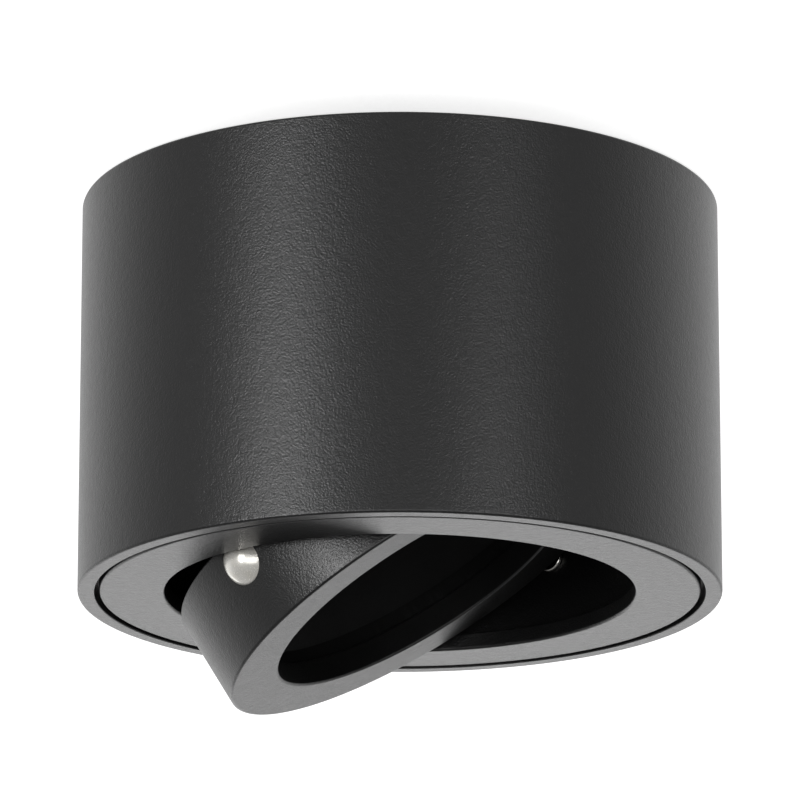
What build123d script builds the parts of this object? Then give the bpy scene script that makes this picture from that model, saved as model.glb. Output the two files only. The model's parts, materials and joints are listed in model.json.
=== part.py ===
from build123d import *
import os
from math import acos, cos, degrees, hypot, radians, sin

# Surface mounted ceiling spotlight: a drum on the ceiling, a trim ring that turns in its mouth
# and a short head that tilts in the trim ring. Millimetres, +Z up. The origin is the middle of
# the face on the ceiling. The head is drawn at its full tilt, its beam leaning towards +X.

os.makedirs("parts", exist_ok=True)

# ---- Drum ----
drum_d = 96.0
drum_h = 60.0
drum_wall = 2.5
edge_round = 0.4  # every visible machined rim
rib_depth = 2.5  # seat rib that the trim ring is pulled against
rib_h = 2.4
lug_count = 3
lug_first = 30.0
lug_h = 4.0
lug_w = 9.0
lug_reach = 7.0
lug_edge = 0.6  # metal left between a lug's screw head and its inner end
swivel_play = 5.0  # half of the angle that the two swivel stops take from a full turn
swivel_slack = 0.4  # degrees that are left between the two stops at either end
stop_h = 3.0
stop_drop = 2.5  # how far the swivel stops lie below the collar's top
stop_in = 0.6

# ---- Base plate and what it carries ----
plate_t = 2.0
plate_gap = 0.2
slot_spacing = 60.0
slot_w = 4.6
slot_l = 12.0
entry_y = -20.0
entry_d = 12.0
dish_depth = 1.2  # pressed seat that keeps the grommet below the ceiling face
dish_margin = 4.0
dish_slope = 20.0
grommet_flange = 2.2
grommet_lift = 1.0
grommet_back = 1.2
grommet_nose = 1.8
grommet_wall = 1.0
grommet_step = 0.4
cable_d = 8.0
term_y = 18.0
term_pitch = 10.0
term_w = 15.0
term_body_h = 9.0
term_round = 1.2
tower_h = 2.0
tower_r = 3.0
tower_inset = 3.6
well_r = 2.1
term_screw_r = 1.2
term_screw_l = 1.4
term_head_r = 1.8
term_head_h = 1.6
term_fix_head_r = 2.4
insert_d = 4.8
insert_inset = 0.5
wire_d = 3.2
clamp_y = -3.0
clamp_span = 18.0
clamp_w = 8.0
clamp_foot_h = 3.0
clamp_wall = 2.2
clamp_squeeze = 0.5
clamp_round = 1.2
earth_x = -20.0
earth_y = -14.0
earth_head_r = 3.6
earth_head_h = 2.4
earth_washer_r = 4.4
earth_washer_t = 0.8
earth_teeth = 12
earth_tooth_r = 0.45

# ---- Trim ring ----
trim_gap = 0.73
trim_set_back = 0.15  # how far the trim's face stands back from the drum's rim
trim_t = 2.5
seat_gap = 0.05
trim_band = 9.72  # flat face of the trim plate, from its edge to the opening
collar_set_back = 2.45
collar_t = 1.5
collar_h = 17.5
stop_clear = 0.3  # what is left between the strap and the collar's lip at full tilt
lip_band = 1.0
clip_count = 3
clip_first = 58.0
clip_w = 9.0
clip_t = 0.5
clip_rivet_rise = 13.6
clip_head_r = 2.25
clip_head_h = 0.9
clip_head_round = 0.45
clip_hook = 1.6  # how far the crest of a clip springs out past the rib
clip_crest = 2.6
clip_toe_in = 1.9
clip_toe_drop = 2.1
clip_heel = 0.6
clip_bend = 0.9
clip_pad_rise = 0.4
clip_pad_edge = 1.2
boss_rise = 0.6

# ---- Head ----
tilt = 31.0
pivot_rise = 6.6
head_gap = 2.05
head_h = 15.0
face_band = 8.2  # flat face of the head, from its edge to the lip
lip_h = 4.0
skirt_t = 2.7
yoke_first = 49.5
yoke_w = 10.0
yoke_t = 1.0
yoke_rivet_rise = 10.9
strap_gap = 0.9
strap_bend = 2.5
strap_heel = 0.5
strap_neck = 8.0
strap_end = 0.4
strap_bite = 6.0
yoke_pad_h = 0.45
yoke_pad_edge = 0.9

# ---- Light engine ----
engine_flange = 2.4  # overlap of the baffle's flange on the back of the lip
flange_t = 1.5
mouth_wall = 1.2
shade_depth = 17.5  # from the face to the lens, so that the lens stays out of sight
lens_inset = 5.5  # from the edge of the heat sink to the edge of the lens
lens_ledge = 1.0
lens_t = 1.5
board_depth = 22.0
board_t = 1.6
pad_t = 0.3
sink_inset = 1.3  # from the lip's edge back to the edge of the heat sink
sink_base_t = 3.5
sink_depth = 35.5
fin_count = 18
fin_t = 1.3
core_d = 15.0
chip_w = 13.5
chip_t = 0.9
sink_screw_count = 3
sink_screw_inset = 2.3
sink_screw_l = 5.0
sink_head_r = 2.0
sink_head_h = 1.5
sink_hole_r = 1.3
sink_boss_r = 2.1
sink_boss_h = 6.0
pilot_r = 1.0
tube_wall = 3.4
step_count = 6
step_start = 2.5
shade_shoulder = 3.0
shade_drop = 2.0
shade_skin = 1.6
cup_wall = 0.8
cup_in = 1.4
chip_round = 0.8
phosphor_h = 0.3
notch_r = 2.0
pad_inset = 0.5
fin_root = 0.5
strap_hole_depth = 7.0

# ---- Fasteners and fits ----
running = 0.05  # radial clearance of a shaft that turns
slip = 0.05  # clearance between parts of one body
past = 1.0  # how far a cutting tool runs past the face that it opens
lead_in = 0.3
air = 0.3  # least gap between hidden pieces that pass each other
m3_r = 1.5
m3_hole_r = 1.7
pan_r = 2.8
pan_h = 1.8
screw_in = 0.9  # share of the plate that a screw's end fills
rivet_r = 1.6
dome_r = 3.4
dome_h = 1.85
spot_margin = 0.2
spot_depth = 0.15  # flat seat that is milled for a rivet's head
tail_r = 2.6
tail_h = 0.9
shoulder_r = 2.0
pivot_boss_r = 4.1
pivot_spot_r = 4.4
pivot_spot_depth = 0.3
pivot_end = 0.6
pivot_head_r = 3.2
pivot_head_h = 2.0
hex_r = 1.5
hex_depth = 1.2
spring_dish = 0.2
washer_t = 1.0
spring_t = 0.55

# ---- Worked out from the above ----
drum_r = drum_d / 2
bore_r = drum_r - drum_wall
rim_z = -drum_h
rib_r = bore_r - rib_depth
trim_z = rim_z + trim_set_back
rib_z = trim_z + trim_t + seat_gap
rib_top = rib_z + rib_h
trim_r = bore_r - trim_gap
opening_r = trim_r - trim_band
collar_r = opening_r + collar_set_back
collar_out = collar_r + collar_t
collar_z = trim_z + trim_t
collar_top = collar_z + collar_h
head_r = opening_r - head_gap
lip_r = head_r - face_band
skirt_r = head_r - skirt_t
sink_r = lip_r - sink_inset
sink_screw_r = sink_r - sink_screw_inset
lens_r = sink_r - lens_inset
plate_r = bore_r - plate_gap
plate_z = -plate_t
face = -pivot_rise  # heights in the head are taken from its pivot
lip_back = face + lip_h
head_back = face + head_h

pivot = Vector(0, 0, rim_z + pivot_rise)
lean = radians(tilt)
head_x = Vector(cos(lean), 0, sin(lean))
head_up = Vector(-sin(lean), 0, cos(lean))
drum_frame = Plane.XY
pivot_frame = Plane(origin=pivot, x_dir=(1, 0, 0), z_dir=(0, 0, 1))
head_frame = Plane(origin=pivot, x_dir=head_x, z_dir=head_up)


def upright(frame, angle=0):
    """The half plane through a frame's axis: X runs outwards, Y runs along the axis."""
    turn = radians(angle)
    out = frame.x_dir * cos(turn) + frame.y_dir * sin(turn)
    return Plane(origin=frame.origin, x_dir=out, z_dir=out.cross(frame.z_dir))


def axis_of(frame):
    return Axis(frame.origin, frame.z_dir)


def spoke(frame, angle, radius, height):
    """A plane that faces outwards from a frame's axis, with Y along the axis."""
    turn = radians(angle)
    out = frame.x_dir * cos(turn) + frame.y_dir * sin(turn)
    origin = frame.origin + out * radius + frame.z_dir * height
    return Plane(origin=origin, x_dir=frame.z_dir.cross(out), z_dir=out)


def inward(frame, angle, radius, height):
    """A plane that faces a frame's axis."""
    seat = spoke(frame, angle, radius, height)
    return Plane(origin=seat.origin, x_dir=-seat.x_dir, z_dir=-seat.z_dir)


def turned(frame, outline):
    """A turned part from its outline in radius and height along the frame's axis."""
    with BuildPart() as piece:
        with BuildSketch(upright(frame)):
            with BuildLine():
                Polyline(*outline, close=True)
            make_face()
        revolve(axis=axis_of(frame))
    return piece.part


def pan_screw(seat, reach, shank_r=m3_r, head_r=pan_r, head_h=pan_h):
    """A cheese head screw: its head stands on the seat, its shank goes below it."""
    slot_w = head_r * 0.3
    with BuildPart() as screw:
        with BuildSketch(upright(seat)):
            with BuildLine():
                Polyline(
                    (0, -reach), (shank_r - lead_in, -reach), (shank_r, lead_in - reach), (shank_r, 0),
                    (head_r, 0), (head_r, head_h * 0.7), (head_r * 0.8, head_h), (0, head_h),
                    close=True,
                )
            make_face()
        revolve(axis=axis_of(seat))
        with BuildSketch(seat.offset(head_h)):
            Rectangle(2 * head_r, slot_w)
        extrude(amount=-head_h * 0.4, mode=Mode.SUBTRACT)
    return screw.part


def rivet_shaft(grip, head_r):
    """A rivet's outline from the middle of its tail, set below the grip, to the edge of its head."""
    return [
        (0, -grip - tail_h), (tail_r * 0.8, -grip - tail_h), (tail_r, -grip),
        (rivet_r, -grip), (rivet_r, 0), (head_r, 0),
    ]


def dome_rivet(seat, grip):
    """A rivet whose dome stands on the seat."""
    ball_r = (dome_r**2 + dome_h**2) / (2 * dome_h)
    foot = degrees(acos(dome_r / ball_r))
    with BuildPart() as rivet:
        with BuildSketch(upright(seat)):
            with BuildLine():
                CenterArc((0, dome_h - ball_r), ball_r, foot, 90 - foot)
                Polyline((0, dome_h), *rivet_shaft(grip, dome_r))
            make_face()
        revolve(axis=axis_of(seat))
    return rivet.part


def flat_rivet(seat, grip):
    """A rivet whose flat head with a rounded rim stands on the seat."""
    with BuildPart() as rivet:
        with BuildSketch(upright(seat)) as section:
            with BuildLine():
                Polyline(
                    (0, clip_head_h), *rivet_shaft(grip, clip_head_r), (clip_head_r, clip_head_h),
                    close=True,
                )
            make_face()
            rim = section.vertices().group_by(Axis.Y)[-1].sort_by(Axis.X)[-1]
            fillet(rim, radius=clip_head_round)
        revolve(axis=axis_of(seat))
    return rivet.part


def save(piece, name):
    piece.part.label = name
    export_step(piece.part, f"parts/{name}.step")


# ---- Drum shell ----
lug_angles = [lug_first + i * 360 / lug_count for i in range(lug_count)]
lug_in = bore_r - lug_reach
lug_screw_r = lug_in + pan_r + lug_edge
clip_pad_r = collar_out + clip_pad_rise
clip_tail_r = clip_pad_r + clip_t + slip + tail_h
stop_z = collar_top - stop_h - stop_drop
drum_stop_r = clip_tail_r + air
trim_stop_r = rib_r - stop_in
drum_stop_w = bore_r * sin(radians(swivel_play))
root = drum_wall / 2  # how deep what stands in the drum reaches into its wall
trim_stop_w = 2 * drum_stop_r * sin(radians(swivel_play - swivel_slack)) - drum_stop_w

with BuildPart() as drum_shell:
    with BuildSketch(Plane.XZ) as wall:
        with BuildLine():
            Polyline(
                (bore_r, 0), (drum_r, 0), (drum_r, rim_z), (bore_r, rim_z), (bore_r, rib_z),
                (rib_r, rib_z), (rib_r, rib_top), (bore_r, rib_top), close=True,
            )
        make_face()
        outer = wall.vertices().group_by(Axis.X)[-1]
        fillet(outer, radius=edge_round)
    revolve(axis=Axis.Z)
    # lugs that the base plate rests on
    with BuildSketch(Plane.XY.offset(plate_z)):
        with PolarLocations((lug_in + bore_r + root) / 2, lug_count, start_angle=lug_first):
            Rectangle(lug_reach + root, lug_w)
    extrude(amount=-lug_h)
    with BuildSketch(Plane.XY.offset(plate_z)):
        with PolarLocations(lug_screw_r, lug_count, start_angle=lug_first):
            Circle(m3_hole_r)
    extrude(amount=-lug_h, mode=Mode.SUBTRACT)
    # swivel stop, opposite the one on the trim ring
    with BuildSketch(Plane.XY.offset(stop_z)):
        with Locations((-(drum_stop_r + bore_r + root) / 2, 0)):
            Rectangle(bore_r + root - drum_stop_r, drum_stop_w)
    extrude(amount=stop_h)
save(drum_shell, "drum_shell")

# ---- Base plate ----
dish_r = entry_d / 2 + dish_margin
thread_l = plate_t * screw_in
slot_x = slot_spacing / 2
term_fix = [(-term_pitch / 2, term_y), (term_pitch / 2, term_y)]
clamp_fix = [(-clamp_span / 2, clamp_y), (clamp_span / 2, clamp_y)]

with BuildPart() as base_plate:
    with BuildSketch(Plane.XY.offset(plate_z)):
        Circle(plate_r)
    extrude(amount=plate_t)
    with BuildSketch(Plane.XY.offset(plate_z - dish_depth)):
        with Locations((0, entry_y)):
            Circle(dish_r + plate_t * 0.6)
    extrude(amount=dish_depth, taper=-dish_slope)
    with BuildSketch(Plane.XY):
        with Locations((0, entry_y)):
            Circle(dish_r)
    extrude(amount=-dish_depth, mode=Mode.SUBTRACT)
    with BuildSketch(Plane.XY):
        with Locations((0, entry_y)):
            Circle(entry_d / 2)
        with Locations((-slot_x, 0), (slot_x, 0)):
            SlotOverall(slot_l, slot_w)
        with Locations(*term_fix, *clamp_fix):
            Circle(m3_r + slip)
        with Locations((earth_x, earth_y)):
            Circle(shoulder_r + slip)
        with PolarLocations(lug_screw_r, lug_count, start_angle=lug_first):
            Circle(m3_r + slip)
    extrude(amount=-plate_t - dish_depth, mode=Mode.SUBTRACT)
save(base_plate, "base_plate")

with BuildPart() as base_plate_screws:
    for angle in lug_angles:
        turn = radians(angle)
        origin = (lug_screw_r * cos(turn), lug_screw_r * sin(turn), plate_z - lug_h)
        add(pan_screw(Plane(origin=origin, z_dir=(0, 0, -1)), lug_h + thread_l))
save(base_plate_screws, "base_plate_screws")

# ---- Cable grommet ----
dish_z = -dish_depth
entry_frame = Plane(origin=(0, entry_y, 0))
sheet_z = dish_z - plate_t
neck_r = entry_d / 2 - slip
grommet_bore_r = cable_d / 2
grommet_top = dish_z + grommet_lift
grommet_lip_r = entry_d / 2 + grommet_flange
grommet_back_z = sheet_z - grommet_back
grommet_end = grommet_back_z - grommet_nose
nose_r = grommet_bore_r + grommet_wall
cable_grommet_outline = [
    (grommet_bore_r, grommet_top), (grommet_lip_r, grommet_top), (grommet_lip_r, dish_z),
    (neck_r, dish_z), (neck_r, sheet_z), (grommet_lip_r, sheet_z),
    (grommet_lip_r - grommet_step, grommet_back_z), (nose_r + grommet_step, grommet_back_z - grommet_step),
    (nose_r, grommet_end), (grommet_bore_r, grommet_end),
]
with BuildPart() as cable_grommet:
    add(turned(entry_frame, cable_grommet_outline))
save(cable_grommet, "cable_grommet")

# ---- Mains terminal ----
poles = [-term_pitch, 0, term_pitch]
wire_z = plate_z - term_body_h * 0.55
term_under = plate_z - term_body_h
tower_z = term_under - tower_h
screw_row = term_w / 2 - tower_inset
tower_places = [(x, term_y + side * screw_row) for x in poles for side in (-1, 1)]

with BuildPart() as terminal_block:
    with BuildSketch(Plane.XY.offset(plate_z)):
        with Locations((0, term_y)):
            RectangleRounded(len(poles) * term_pitch, term_w, term_round)
    extrude(amount=-term_body_h)
    with BuildSketch(Plane.XY.offset(term_under)):
        with Locations(*tower_places):
            Circle(tower_r)
    extrude(amount=-tower_h)
    with BuildSketch(Plane.XZ.offset(-term_y - term_w / 2)):
        with Locations(*[(x, wire_z) for x in poles]):
            Circle(insert_d / 2 + slip)
    extrude(amount=term_w, mode=Mode.SUBTRACT)
    with BuildSketch(Plane.XY.offset(tower_z)):
        with Locations(*tower_places):
            Circle(well_r)
    extrude(amount=wire_z - tower_z, mode=Mode.SUBTRACT)
    with BuildSketch(Plane.XY.offset(plate_z)):
        with Locations(*term_fix):
            Circle(m3_hole_r)
    extrude(amount=-term_body_h, mode=Mode.SUBTRACT)
save(terminal_block, "terminal_block")

with BuildPart() as terminal_inserts:
    with BuildSketch(Plane.XZ.offset(-term_y - term_w / 2 + insert_inset)):
        with Locations(*[(x, wire_z) for x in poles]):
            Circle(insert_d / 2)
            Circle(wire_d / 2, mode=Mode.SUBTRACT)
    extrude(amount=term_w - 2 * insert_inset)
    with BuildSketch(Plane.XY.offset(wire_z)):
        with Locations(*tower_places):
            Circle(term_screw_r + slip)
    extrude(amount=-insert_d, mode=Mode.SUBTRACT)
save(terminal_inserts, "terminal_inserts")

insert_under = wire_z - insert_d / 2
with BuildPart() as terminal_screws:
    for x, y in tower_places:
        seat = Plane(origin=(x, y, insert_under - lead_in), z_dir=(0, 0, -1))
        add(pan_screw(seat, term_screw_l, term_screw_r, term_head_r, term_head_h))
save(terminal_screws, "terminal_screws")

with BuildPart() as terminal_fixing_screws:
    for x, y in term_fix:
        seat = Plane(origin=(x, y, term_under), z_dir=(0, 0, -1))
        add(pan_screw(seat, term_body_h + thread_l, m3_r, term_fix_head_r, term_head_h))
save(terminal_fixing_screws, "terminal_fixing_screws")

# ---- Cord clamp ----
arch_r = cable_d / 2 - clamp_squeeze
arch_out = arch_r + clamp_wall
clamp_eye_r = pan_r + lug_edge
with BuildPart() as cord_clamp:
    with BuildSketch(Plane.XZ.offset(-clamp_y - clamp_w / 2)):
        with Locations((0, plate_z - clamp_foot_h / 2)):
            Rectangle(clamp_span + 2 * clamp_eye_r, clamp_foot_h)
        with Locations((0, plate_z)):
            Circle(arch_out)
            Circle(arch_r, mode=Mode.SUBTRACT)
        with Locations((0, plate_z + arch_out)):
            Rectangle(2 * clamp_span, 2 * arch_out, mode=Mode.SUBTRACT)
    extrude(amount=clamp_w)
    with BuildSketch(Plane.XY.offset(plate_z)):
        with Locations(*clamp_fix):
            Circle(m3_hole_r)
    extrude(amount=-clamp_foot_h, mode=Mode.SUBTRACT)
    fillet(cord_clamp.edges().filter_by(Axis.Z).group_by(SortBy.LENGTH)[-1], radius=clamp_round)
save(cord_clamp, "cord_clamp")

with BuildPart() as cord_clamp_screws:
    for x, y in clamp_fix:
        seat = Plane(origin=(x, y, plate_z - clamp_foot_h), z_dir=(0, 0, -1))
        add(pan_screw(seat, clamp_foot_h + thread_l))
save(cord_clamp_screws, "cord_clamp_screws")

# ---- Earth point ----
earth_frame = Plane(origin=(earth_x, earth_y, plate_z), z_dir=(0, 0, -1))
washer_in = shoulder_r + 2 * slip
with BuildPart() as earth_washer:
    with BuildSketch(earth_frame):
        Circle(earth_washer_r)
        Circle(washer_in, mode=Mode.SUBTRACT)
        with PolarLocations(earth_washer_r, earth_teeth):
            Circle(earth_tooth_r, mode=Mode.SUBTRACT)
    extrude(amount=earth_washer_t)
save(earth_washer, "earth_washer")

with BuildPart() as earth_screw:
    seat = earth_frame.offset(earth_washer_t)
    add(pan_screw(seat, earth_washer_t + thread_l, shoulder_r, earth_head_r, earth_head_h))
save(earth_screw, "earth_screw")

# ---- Trim ring ----
screw_seat = head_r - pivot_spot_depth
boss_in = screw_seat + washer_t + 2 * slip
boss_out = collar_out + boss_rise
clip_angles = [clip_first + i * 360 / clip_count for i in range(clip_count)]
clip_rivet_z = rim_z + clip_rivet_rise
clip_seat_r = collar_r + spot_depth  # under the head of a clip rivet
# at full tilt the strap's outer edge swings out to the collar's lip, which stops the head
edge_r = sink_r + strap_gap + yoke_t
yoke_turn = radians(yoke_first)
edge_x = edge_r * cos(yoke_turn) + yoke_w / 2 * sin(yoke_turn)
edge_y = edge_r * sin(yoke_turn) - yoke_w / 2 * cos(yoke_turn)
edge_z = (collar_top - pivot.Z + edge_x * sin(lean)) / cos(lean)
stop_lip_r = hypot(edge_x * cos(lean) + edge_z * sin(lean), edge_y) + stop_clear
pad_h = 2 * (tail_r + clip_pad_edge)
clip_spot_r = clip_head_r + spot_margin
yoke_spot_r = dome_r + spot_margin
pivot_angles = [90, 270]

with BuildPart() as trim_ring:
    with BuildSketch(Plane.XZ) as section:
        with BuildLine():
            Polyline(
                (opening_r, trim_z), (trim_r, trim_z), (trim_r, collar_z), (collar_out, collar_z),
                (collar_out, collar_top), (stop_lip_r, collar_top),
                (stop_lip_r, collar_top - lip_band),
                (collar_r, collar_top - lip_band - collar_r + stop_lip_r),
                (collar_r, collar_z), (opening_r, collar_z), close=True,
            )
        make_face()
        visible = section.vertices().group_by(Axis.Y)[0]
        fillet(visible, radius=edge_round)
    revolve(axis=Axis.Z)
    # pivot bosses
    for angle in pivot_angles:
        with BuildSketch(spoke(pivot_frame, angle, boss_in, 0)):
            Circle(pivot_boss_r)
        extrude(amount=boss_out - boss_in)
        with BuildSketch(spoke(pivot_frame, angle, boss_in, 0)):
            Circle(shoulder_r + running)
        extrude(amount=boss_out - boss_in, mode=Mode.SUBTRACT)
    # flat pads for the snap clips, with a spot face inside for each rivet's head
    for angle in clip_angles:
        with BuildSketch(spoke(drum_frame, angle, collar_r + collar_t / 2, clip_rivet_z)):
            Rectangle(clip_w + past, pad_h)
        extrude(amount=clip_pad_r - collar_r - collar_t / 2)
        with BuildSketch(spoke(drum_frame, angle, collar_r - past, clip_rivet_z)):
            Circle(clip_spot_r)
        extrude(amount=clip_seat_r - collar_r + past, mode=Mode.SUBTRACT)
        with BuildSketch(spoke(drum_frame, angle, collar_r, clip_rivet_z)):
            Circle(rivet_r + slip)
        extrude(amount=clip_pad_r - collar_r, mode=Mode.SUBTRACT)
    # swivel stop
    with BuildSketch(Plane.XY.offset(stop_z)):
        with Locations(((collar_out - collar_t / 3 + trim_stop_r) / 2, 0)):
            Rectangle(trim_stop_r - collar_out + collar_t / 3, trim_stop_w)
    extrude(amount=stop_h)
save(trim_ring, "trim_ring")

# ---- Snap clips ----
strip_r = clip_pad_r + slip + clip_t / 2
crest_r = rib_r + clip_hook
crest_z = rib_top + clip_crest
toe_r = rib_r - clip_toe_in
toe_z = rib_top - clip_toe_drop
for number, angle in enumerate(clip_angles, 1):
    side = upright(drum_frame, angle)
    with BuildPart() as snap_clip:
        with BuildLine(side) as route:
            FilletPolyline(
                (strip_r, clip_rivet_z + pad_h / 2), (strip_r, clip_rivet_z - pad_h / 2 + clip_heel),
                (crest_r - clip_t, crest_z), (toe_r, toe_z), radius=clip_bend,
            )
        start = route.line @ 0
        with BuildSketch(Plane(origin=start, x_dir=side.z_dir, z_dir=route.line % 0)):
            Rectangle(clip_w, clip_t)
        sweep(path=route.line)
        with BuildSketch(spoke(drum_frame, angle, clip_pad_r - past, clip_rivet_z)):
            Circle(rivet_r + slip)
        extrude(amount=clip_t + 2 * past, mode=Mode.SUBTRACT)
    save(snap_clip, f"snap_clip_{number}")

with BuildPart() as clip_rivets:
    grip = clip_pad_r + 2 * slip + clip_t - clip_seat_r
    for angle in clip_angles:
        add(flat_rivet(inward(drum_frame, angle, clip_seat_r, clip_rivet_z), grip))
save(clip_rivets, "clip_rivets")

# ---- Head ring ----
yoke_angles = [yoke_first, yoke_first + 180]
yoke_z = face + yoke_rivet_rise
yoke_pad = skirt_r - yoke_pad_h
yoke_seat = head_r - spot_depth
boss_inner = lip_r + engine_flange + air

with BuildPart() as head_ring:
    with BuildSketch(upright(head_frame)) as section:
        with BuildLine():
            Polyline(
                (lip_r, face), (head_r, face), (head_r, head_back), (skirt_r, head_back),
                (skirt_r, lip_back), (lip_r, lip_back), close=True,
            )
        make_face()
        fillet(section.vertices().group_by(Axis.Y)[0], radius=edge_round)
        fillet(section.vertices().group_by(Axis.Y)[-1].group_by(Axis.X)[-1], radius=edge_round)
    revolve(axis=axis_of(head_frame))
    for angle in pivot_angles:
        with BuildSketch(spoke(head_frame, angle, boss_inner, 0)):
            Circle(pivot_boss_r)
        extrude(amount=skirt_r + skirt_t / 2 - boss_inner)
        with BuildSketch(spoke(head_frame, angle, screw_seat, 0)):
            Circle(pivot_spot_r)
        extrude(amount=past, mode=Mode.SUBTRACT)
        with BuildSketch(spoke(head_frame, angle, boss_inner, 0)):
            Circle(m3_r + slip)
        extrude(amount=head_r - boss_inner, mode=Mode.SUBTRACT)
    for angle in yoke_angles:
        with BuildSketch(spoke(head_frame, angle, yoke_pad, yoke_z)):
            Circle(tail_r + yoke_pad_edge)
        extrude(amount=skirt_t / 2)
        with BuildSketch(spoke(head_frame, angle, yoke_seat, yoke_z)):
            Circle(yoke_spot_r)
        extrude(amount=past, mode=Mode.SUBTRACT)
        with BuildSketch(spoke(head_frame, angle, yoke_pad, yoke_z)):
            Circle(rivet_r + slip)
        extrude(amount=head_r - yoke_pad, mode=Mode.SUBTRACT)
save(head_ring, "head_ring")

# ---- Tilt pivots ----
spring_top = boss_out + spring_t + 2 * slip
with BuildPart() as pivot_screws:
    for angle in pivot_angles:
        seat = spoke(head_frame, angle, spring_top, 0)
        shoulder = spring_top - screw_seat
        reach = spring_top - boss_inner - pivot_end
        with BuildSketch(upright(seat)):
            with BuildLine():
                Polyline(
                    (0, -reach), (m3_r - lead_in, -reach), (m3_r, lead_in - reach), (m3_r, -shoulder),
                    (shoulder_r, -shoulder), (shoulder_r, 0), (pivot_head_r, 0),
                    (pivot_head_r, pivot_head_h * 0.8), (pivot_head_r * 0.85, pivot_head_h),
                    (0, pivot_head_h), close=True,
                )
            make_face()
        revolve(axis=axis_of(seat))
        with BuildSketch(seat.offset(pivot_head_h)):
            RegularPolygon(hex_r, 6)
        extrude(amount=-hex_depth, mode=Mode.SUBTRACT)
save(pivot_screws, "pivot_screws")

with BuildPart() as friction_washers:
    for angle in pivot_angles:
        with BuildSketch(spoke(head_frame, angle, screw_seat + slip, 0)):
            Circle(pivot_boss_r - 2 * slip)
            Circle(shoulder_r + slip, mode=Mode.SUBTRACT)
        extrude(amount=washer_t)
save(friction_washers, "friction_washers")

spring_out = pivot_boss_r - air
spring_outline = [
    (shoulder_r + slip, spring_dish), (spring_out, 0), (spring_out, spring_t - spring_dish),
    (shoulder_r + slip, spring_t),
]
with BuildPart() as spring_washers:
    for angle in pivot_angles:
        add(turned(spoke(head_frame, angle, boss_out + slip, 0), spring_outline))
save(spring_washers, "spring_washers")

# ---- Yoke strap ----
sink_top = face + sink_depth
strap_r = sink_r + strap_gap + yoke_t / 2
leg_r = yoke_pad - slip - yoke_t / 2
strap_z = sink_top + slip + yoke_t / 2
strap_foot = yoke_z - tail_r - strap_end
yoke_side = upright(head_frame, yoke_first)
with BuildPart() as yoke_strap:
    with BuildLine(yoke_side) as route:
        FilletPolyline(
            (leg_r, strap_foot), (leg_r, head_back + strap_heel),
            (strap_r, head_back + strap_neck), (strap_r, strap_z), (-strap_r, strap_z),
            (-strap_r, head_back + strap_neck), (-leg_r, head_back + strap_heel),
            (-leg_r, strap_foot), radius=strap_bend,
        )
    start = route.line @ 0
    with BuildSketch(Plane(origin=start, x_dir=yoke_side.z_dir, z_dir=route.line % 0)):
        Rectangle(yoke_w, yoke_t)
    sweep(path=route.line)
    for angle in yoke_angles:
        with BuildSketch(spoke(head_frame, angle, leg_r - past, yoke_z)):
            Circle(rivet_r + slip)
        extrude(amount=2 * past, mode=Mode.SUBTRACT)
    with BuildSketch(head_frame.offset(strap_z - past)):
        Circle(m3_hole_r)
    extrude(amount=2 * past, mode=Mode.SUBTRACT)
save(yoke_strap, "yoke_strap")

with BuildPart() as yoke_rivets:
    grip = yoke_seat - leg_r + yoke_t / 2 + slip
    for angle in yoke_angles:
        add(dome_rivet(spoke(head_frame, angle, yoke_seat, yoke_z), grip))
save(yoke_rivets, "yoke_rivets")

strap_top = strap_z + yoke_t / 2
with BuildPart() as strap_screw:
    add(pan_screw(head_frame.offset(strap_top), yoke_t + strap_bite))
save(strap_screw, "strap_screw")

# ---- Glare baffle ----
flange_r = lip_r + engine_flange
mouth_r = lip_r + engine_flange / 3
flange_z = lip_back + slip
shade_z = face + shade_depth
board_z = face + board_depth
tube_r = lens_r + tube_wall
lens_seat_r = lens_r - lens_ledge
shade_top = shade_z - slip
first_z = lip_back + step_start
tube_end = board_z - slip


def shade_steps():
    """The anti-glare steps: short straight rings, each a little narrower than the last."""
    rise = (shade_top - first_z) / step_count
    shrink = (mouth_r - lens_seat_r) / step_count
    points = [(mouth_r, flange_z), (mouth_r, first_z)]
    for i in range(step_count):
        radius = mouth_r - (i + 1) * shrink
        points.append((radius, first_z + (i + 0.55) * rise))
        points.append((radius, first_z + (i + 1) * rise))
    return points


baffle_outline = [
    (flange_r, flange_z), (flange_r, flange_z + flange_t), (mouth_r + mouth_wall, flange_z + flange_t),
    (mouth_r + mouth_wall, lip_back + shade_shoulder), (tube_r, shade_top - shade_drop), (tube_r, tube_end),
    (lens_r + slip, tube_end), (lens_r + slip, shade_top),
] + shade_steps()[::-1]
sink_screw_angles = [180 / fin_count + i * 360 / sink_screw_count for i in range(sink_screw_count)]
with BuildPart() as glare_baffle:
    add(turned(head_frame, baffle_outline))
    with BuildSketch(head_frame.offset(tube_end)):
        with PolarLocations(sink_screw_r, sink_screw_count, start_angle=sink_screw_angles[0]):
            Circle(sink_boss_r)
    extrude(amount=shade_top - sink_boss_h - board_z)
    # the light's way stays clear of the bosses
    clear_z = shade_top - shade_skin
    add(
        turned(head_frame, [
            (0, flange_z), (mouth_r, flange_z), (mouth_r, first_z), (lens_seat_r + shade_skin, clear_z),
            (0, clear_z),
        ]),
        mode=Mode.SUBTRACT,
    )
    with BuildSketch(head_frame.offset(board_z)):
        with PolarLocations(sink_screw_r, sink_screw_count, start_angle=sink_screw_angles[0]):
            Circle(pilot_r + slip)
    extrude(amount=-sink_boss_h, mode=Mode.SUBTRACT)
save(glare_baffle, "glare_baffle")

# ---- Lens, reflector and light source ----
lens_outline = [
    (0, shade_z), (lens_r - slip, shade_z), (lens_r - slip, shade_z + lens_t * 0.6), (0, shade_z + lens_t),
]
with BuildPart() as lens:
    add(turned(head_frame, lens_outline))
save(lens, "lens")

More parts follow.
